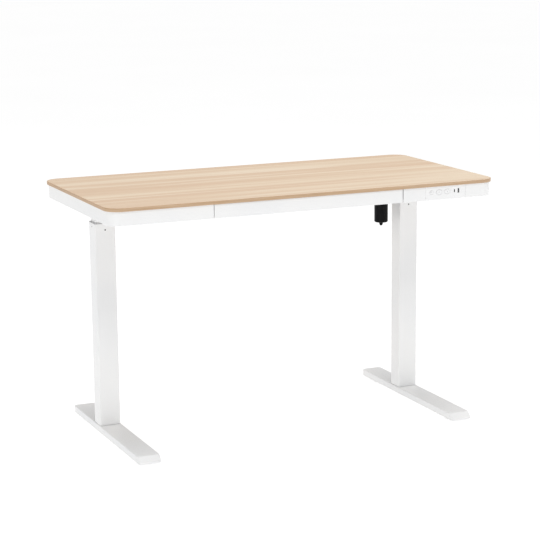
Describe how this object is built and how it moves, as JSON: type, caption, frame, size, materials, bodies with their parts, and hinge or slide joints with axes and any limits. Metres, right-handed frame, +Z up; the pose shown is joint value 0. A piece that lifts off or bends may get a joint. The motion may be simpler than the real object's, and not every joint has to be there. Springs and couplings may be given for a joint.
{
  "type": "height adjustable standing desk",
  "caption": "Electric sit-stand desk with a light oak top on a white steel frame, a slim front drawer, a control panel with USB sockets and two telescopic columns on flat feet.",
  "frame": {"origin": "centre of the footprint on the floor, with the desk at its lowest setting", "axes": "+X to the user's right along the desk's width, +Y to the back, +Z up; the drawer and the control panel face -Y"},
  "size_m": [1.2, 0.6, 0.73],
  "materials": {
    "oak_laminate": "matt light oak laminate, grain along X",
    "oak_band": "matt oak edge band, a little darker",
    "white_coat": "fine-textured white powder coat",
    "white_plastic": "smooth white moulded plastic",
    "dark_plastic": "black moulded plastic",
    "grey_plastic": "grey self-lubricating glide plastic",
    "black_enamel": "glossy black enamel",
    "black_steel": "black oxide steel",
    "bright_steel": "zinc-plated and ground steel",
    "circuit_board": "green solder mask",
    "cable_sheath": "black cable sheath"
  },
  "bodies": {
    "left_base": {"left_foot": "white_coat", "left_outer_tube": "white_coat", "left_glide_set": "grey_plastic", "left_nut_tube": "bright_steel", "left_spindle_nut": "dark_plastic", "left_leg_screws": "black_steel"},
    "right_base": {"right_foot": "white_coat", "right_outer_tube": "white_coat", "right_glide_set": "grey_plastic", "right_nut_tube": "bright_steel", "right_spindle_nut": "dark_plastic", "right_leg_screws": "black_steel"},
    "desk": {"desktop_board": "oak_laminate", "edge_band": "oak_band", "rear_rail": "white_coat", "left_side_rail": "white_coat", "right_side_rail": "white_coat", "front_left_rail": "white_coat", "front_right_rail": "white_coat", "left_side_bracket": "white_coat", "right_side_bracket": "white_coat", "cross_tube": "white_coat", "left_inner_tube": "white_coat", "right_inner_tube": "white_coat", "left_gearbox_base": "dark_plastic", "left_gearbox_cover": "dark_plastic", "right_gearbox_base": "dark_plastic", "right_gearbox_cover": "dark_plastic", "motor_can": "black_enamel", "frame_screws": "bright_steel", "control_box_base": "dark_plastic", "control_box_lid": "dark_plastic", "control_board": "circuit_board", "power_inlet": "dark_plastic", "motor_lead": "cable_sheath", "panel_lead": "cable_sheath", "control_panel": "white_plastic", "panel_board": "circuit_board", "usb_a_socket": "bright_steel", "usb_c_socket": "bright_steel", "left_drawer_hanger": "white_coat", "right_drawer_hanger": "white_coat", "left_slide_outer": "bright_steel", "right_slide_outer": "bright_steel"},
    "drawer": {"drawer_front": "white_coat", "drawer_tray": "white_coat", "left_slide_inner": "bright_steel", "right_slide_inner": "bright_steel"},
    "ball_cages": {"drawer_ball_cages": "bright_steel"},
    "preset_button": {"preset_button": "white_plastic"},
    "up_button": {"up_button": "white_plastic"},
    "down_button": {"down_button": "white_plastic"},
    "drive_rod": {"drive_rod": "bright_steel"},
    "left_spindle": {"left_spindle": "bright_steel"},
    "right_spindle": {"right_spindle": "bright_steel"},
    "motor_rotor": {"motor_rotor": "bright_steel"},
    "left_front_leveller": {"left_front_leveller": "dark_plastic"},
    "left_rear_leveller": {"left_rear_leveller": "dark_plastic"},
    "right_front_leveller": {"right_front_leveller": "dark_plastic"},
    "right_rear_leveller": {"right_rear_leveller": "dark_plastic"}
  },
  "joints": [
    {"name": "desk_lift", "type": "slide", "parent": "left_base", "child": "desk", "axis": [0, 0, 1], "range_m": [0, 0.48]},
    {"name": "right_leg_slide", "type": "slide", "parent": "desk", "child": "right_base", "axis": [0, 0, -1], "range_m": [0, 0.48]},
    {"name": "left_spindle_spin", "type": "hinge", "parent": "desk", "child": "left_spindle", "pos_m": [-0.495, 0.074, 0.4], "axis": [0, 0, 1], "continuous": true},
    {"name": "right_spindle_spin", "type": "hinge", "parent": "desk", "child": "right_spindle", "pos_m": [0.495, 0.074, 0.4], "axis": [0, 0, 1], "continuous": true},
    {"name": "drive_rod_spin", "type": "hinge", "parent": "desk", "child": "drive_rod", "pos_m": [0, 0.074, 0.7], "axis": [1, 0, 0], "continuous": true},
    {"name": "motor_spin", "type": "hinge", "parent": "desk", "child": "motor_rotor", "pos_m": [0.405, 0.058, 0.62], "axis": [0, 0, 1], "continuous": true},
    {"name": "drawer_slide", "type": "slide", "parent": "desk", "child": "drawer", "axis": [0, -1, 0], "range_m": [0, 0.2]},
    {"name": "ball_cage_slide", "type": "slide", "parent": "desk", "child": "ball_cages", "axis": [0, -1, 0], "range_m": [0, 0.1]},
    {"name": "preset_button_press", "type": "slide", "parent": "desk", "child": "preset_button", "axis": [0, 1, 0], "range_m": [0, 0.0008], "stiffness_N_per_m": 1200, "springref_m": -0.0004},
    {"name": "up_button_press", "type": "slide", "parent": "desk", "child": "up_button", "axis": [0, 1, 0], "range_m": [0, 0.0008], "stiffness_N_per_m": 1200, "springref_m": -0.0004},
    {"name": "down_button_press", "type": "slide", "parent": "desk", "child": "down_button", "axis": [0, 1, 0], "range_m": [0, 0.0008], "stiffness_N_per_m": 1200, "springref_m": -0.0004},
    {"name": "left_front_leveller_screw", "type": "slide", "parent": "left_base", "child": "left_front_leveller", "axis": [0, 0, -1], "range_m": [0, 0.01]},
    {"name": "left_rear_leveller_screw", "type": "slide", "parent": "left_base", "child": "left_rear_leveller", "axis": [0, 0, -1], "range_m": [0, 0.01]},
    {"name": "right_front_leveller_screw", "type": "slide", "parent": "right_base", "child": "right_front_leveller", "axis": [0, 0, -1], "range_m": [0, 0.01]},
    {"name": "right_rear_leveller_screw", "type": "slide", "parent": "right_base", "child": "right_rear_leveller", "axis": [0, 0, -1], "range_m": [0, 0.01]}
  ],
  "couplings": [
    {"joint": "right_leg_slide", "follows": "desk_lift", "ratio": 1},
    {"joint": "left_spindle_spin", "follows": "desk_lift", "rad_per_m": 785.4},
    {"joint": "right_spindle_spin", "follows": "desk_lift", "rad_per_m": 785.4},
    {"joint": "drive_rod_spin", "follows": "desk_lift", "rad_per_m": 785.4},
    {"joint": "motor_spin", "follows": "desk_lift", "rad_per_m": 12566},
    {"joint": "ball_cage_slide", "follows": "drawer_slide", "ratio": 0.5}
  ]
}
